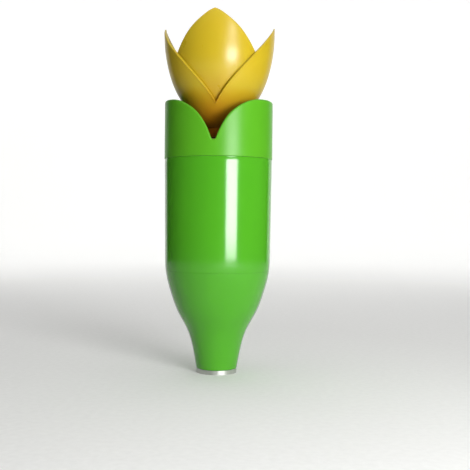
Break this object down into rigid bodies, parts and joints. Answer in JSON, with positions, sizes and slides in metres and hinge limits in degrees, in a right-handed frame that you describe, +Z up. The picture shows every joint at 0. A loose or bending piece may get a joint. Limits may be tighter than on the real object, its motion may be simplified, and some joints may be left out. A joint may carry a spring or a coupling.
{
  "type": "bulb planter",
  "caption": "Hand bulb planter shaped as a tulip: steel coring tube in a green barrel with a two-lobed collar, and a yellow flower knob on a rod that pushes the core out.",
  "frame": {"origin": "centre of the cutting lip, at its lowest face", "axes": "+Z up along the coring tube to the flower, -Y towards the front notch of the sepal collar, +X towards the right-hand outer petal"},
  "size_m": [0.0656, 0.064, 0.2093],
  "materials": {
    "tube_steel": "satin stainless steel, drawn lengthwise",
    "nose_plastic": "glossy moulded green plastic",
    "barrel_plastic": "glossy moulded green plastic",
    "collar_plastic": "semi-gloss moulded green plastic",
    "guide_plastic": "plain moulded green plastic",
    "outer_petal_plastic": "semi-gloss moulded yellow plastic",
    "inner_petal_plastic": "semi-gloss moulded yellow plastic",
    "bush_acetal": "white acetal",
    "seal_rubber": "black nitrile rubber",
    "rod_steel": "ground stainless steel",
    "screw_steel": "stainless steel",
    "nut_steel": "polished stainless steel"
  },
  "bodies": {
    "housing": {"coring_tube": "tube_steel", "nose_cone": "nose_plastic", "nose_seal": "seal_rubber", "barrel": "barrel_plastic", "top_guide": "guide_plastic", "guide_bush": "bush_acetal", "stop_bumper": "seal_rubber", "guide_screws": "screw_steel", "sepal_collar": "collar_plastic", "tube_washer": "screw_steel", "tube_cap": "bush_acetal"},
    "plunger": {"plunger_rod": "rod_steel", "ejector_head": "bush_acetal", "wiper_rings": "seal_rubber", "ejector_screw": "screw_steel", "head_buffer": "seal_rubber", "outer_petals": "outer_petal_plastic", "inner_petals": "inner_petal_plastic", "flower_washer": "screw_steel", "flower_nut": "nut_steel"}
  },
  "joints": [
    {"name": "plunger_slide", "type": "slide", "parent": "housing", "child": "plunger", "axis": [0, 0, 1], "range_m": [0, 0.06]}
  ]
}
